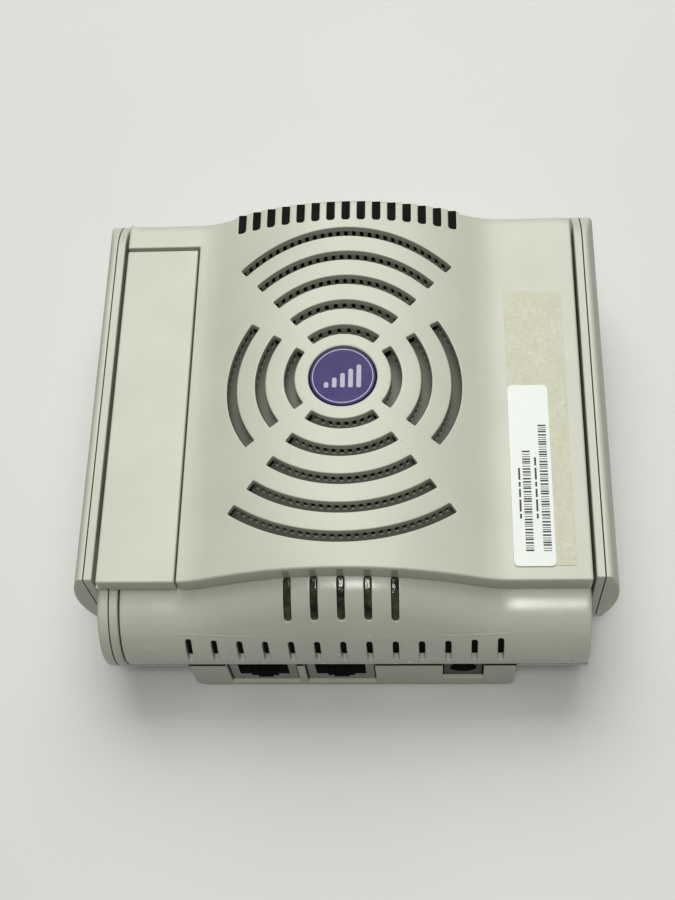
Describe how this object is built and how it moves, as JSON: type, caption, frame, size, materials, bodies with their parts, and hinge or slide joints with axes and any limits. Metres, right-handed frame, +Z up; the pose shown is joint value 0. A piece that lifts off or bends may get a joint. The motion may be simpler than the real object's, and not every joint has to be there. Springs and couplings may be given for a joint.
{
  "type": "wireless access point",
  "caption": "Indoor wireless access point: domed vented casing with round front edge, network and power sockets, and fold-out flat antennas on friction hinges.",
  "frame": {"origin": "middle of the folded object's footprint, on the surface it stands on", "axes": "+X to the right seen from the socket side, +Y from the socket side to the back, +Z up"},
  "size_m": [0.1254, 0.1157, 0.048],
  "materials": {
    "casing": "fine-grained warm light grey ABS",
    "smooth_casing": "smoother warm light grey ABS",
    "badge": "satin violet printed badge",
    "rubber_foot": "matt black rubber",
    "screw_steel": "zinc plated",
    "board": "green solder mask",
    "chip": "black moulded package",
    "shield": "tin plated sheet",
    "heat_sink": "plain extruded",
    "dark_plastic": "black nylon",
    "clear_plastic": "smoky clear acrylic",
    "led": "white package",
    "label": "white printed paper label",
    "residue": "aged adhesive film",
    "pin_steel": "turned",
    "bush": "sintered bronze"
  },
  "bodies": {
    "casing": {"top_cover": "casing", "vent_baffle": "casing", "badge": "badge", "middle_housing": "smooth_casing", "base_tray": "casing", "rubber_foot_1": "rubber_foot", "rubber_foot_2": "rubber_foot", "rubber_foot_3": "rubber_foot", "rubber_foot_4": "rubber_foot", "case_screw_1": "screw_steel", "case_screw_2": "screw_steel", "case_screw_3": "screw_steel", "case_screw_4": "screw_steel", "main_board": "board", "board_screw_1": "screw_steel", "board_screw_2": "screw_steel", "board_screw_3": "screw_steel", "board_screw_4": "screw_steel", "processor": "chip", "memory_chip": "chip", "rf_shield_1": "shield", "rf_shield_2": "shield", "lan_transformer": "chip", "heat_sink": "heat_sink", "capacitor_1": "chip", "capacitor_2": "chip", "left_antenna_lead": "dark_plastic", "right_antenna_lead": "dark_plastic", "top_antenna_lead": "dark_plastic", "ethernet_jack_1": "shield", "ethernet_jack_2": "shield", "power_jack": "dark_plastic", "light_pipe_1": "clear_plastic", "status_led_1": "led", "light_pipe_2": "clear_plastic", "status_led_2": "led", "light_pipe_3": "clear_plastic", "status_led_3": "led", "light_pipe_4": "clear_plastic", "status_led_4": "led", "light_pipe_5": "clear_plastic", "status_led_5": "led", "label_residue": "residue", "product_label": "label", "left_antenna_hinge_bush": "bush", "right_antenna_hinge_bush": "bush", "top_antenna_hinge_bush": "bush"},
    "left_antenna": {"left_antenna_outer_shell": "casing", "left_antenna_inner_shell": "casing", "left_antenna_hinge_pin": "pin_steel", "left_antenna_element": "board"},
    "right_antenna": {"right_antenna_outer_shell": "casing", "right_antenna_inner_shell": "casing", "right_antenna_hinge_pin": "pin_steel", "right_antenna_element": "board"},
    "top_antenna": {"top_antenna_outer_shell": "casing", "top_antenna_inner_shell": "casing", "top_antenna_hinge_pin": "pin_steel", "top_antenna_element": "board"}
  },
  "joints": [
    {"name": "left_antenna_hinge", "type": "hinge", "parent": "casing", "child": "left_antenna", "pos_m": [-0.0585, 0.0453, 0.02675], "axis": [-1, 0, 0], "range_deg": [0, 180]},
    {"name": "right_antenna_hinge", "type": "hinge", "parent": "casing", "child": "right_antenna", "pos_m": [0.0585, 0.0453, 0.02675], "axis": [-1, 0, 0], "range_deg": [0, 180]},
    {"name": "top_antenna_hinge", "type": "hinge", "parent": "casing", "child": "top_antenna", "pos_m": [-0.0537, -0.0437, 0.0205], "axis": [1, 0, 0], "range_deg": [0, 180]}
  ]
}
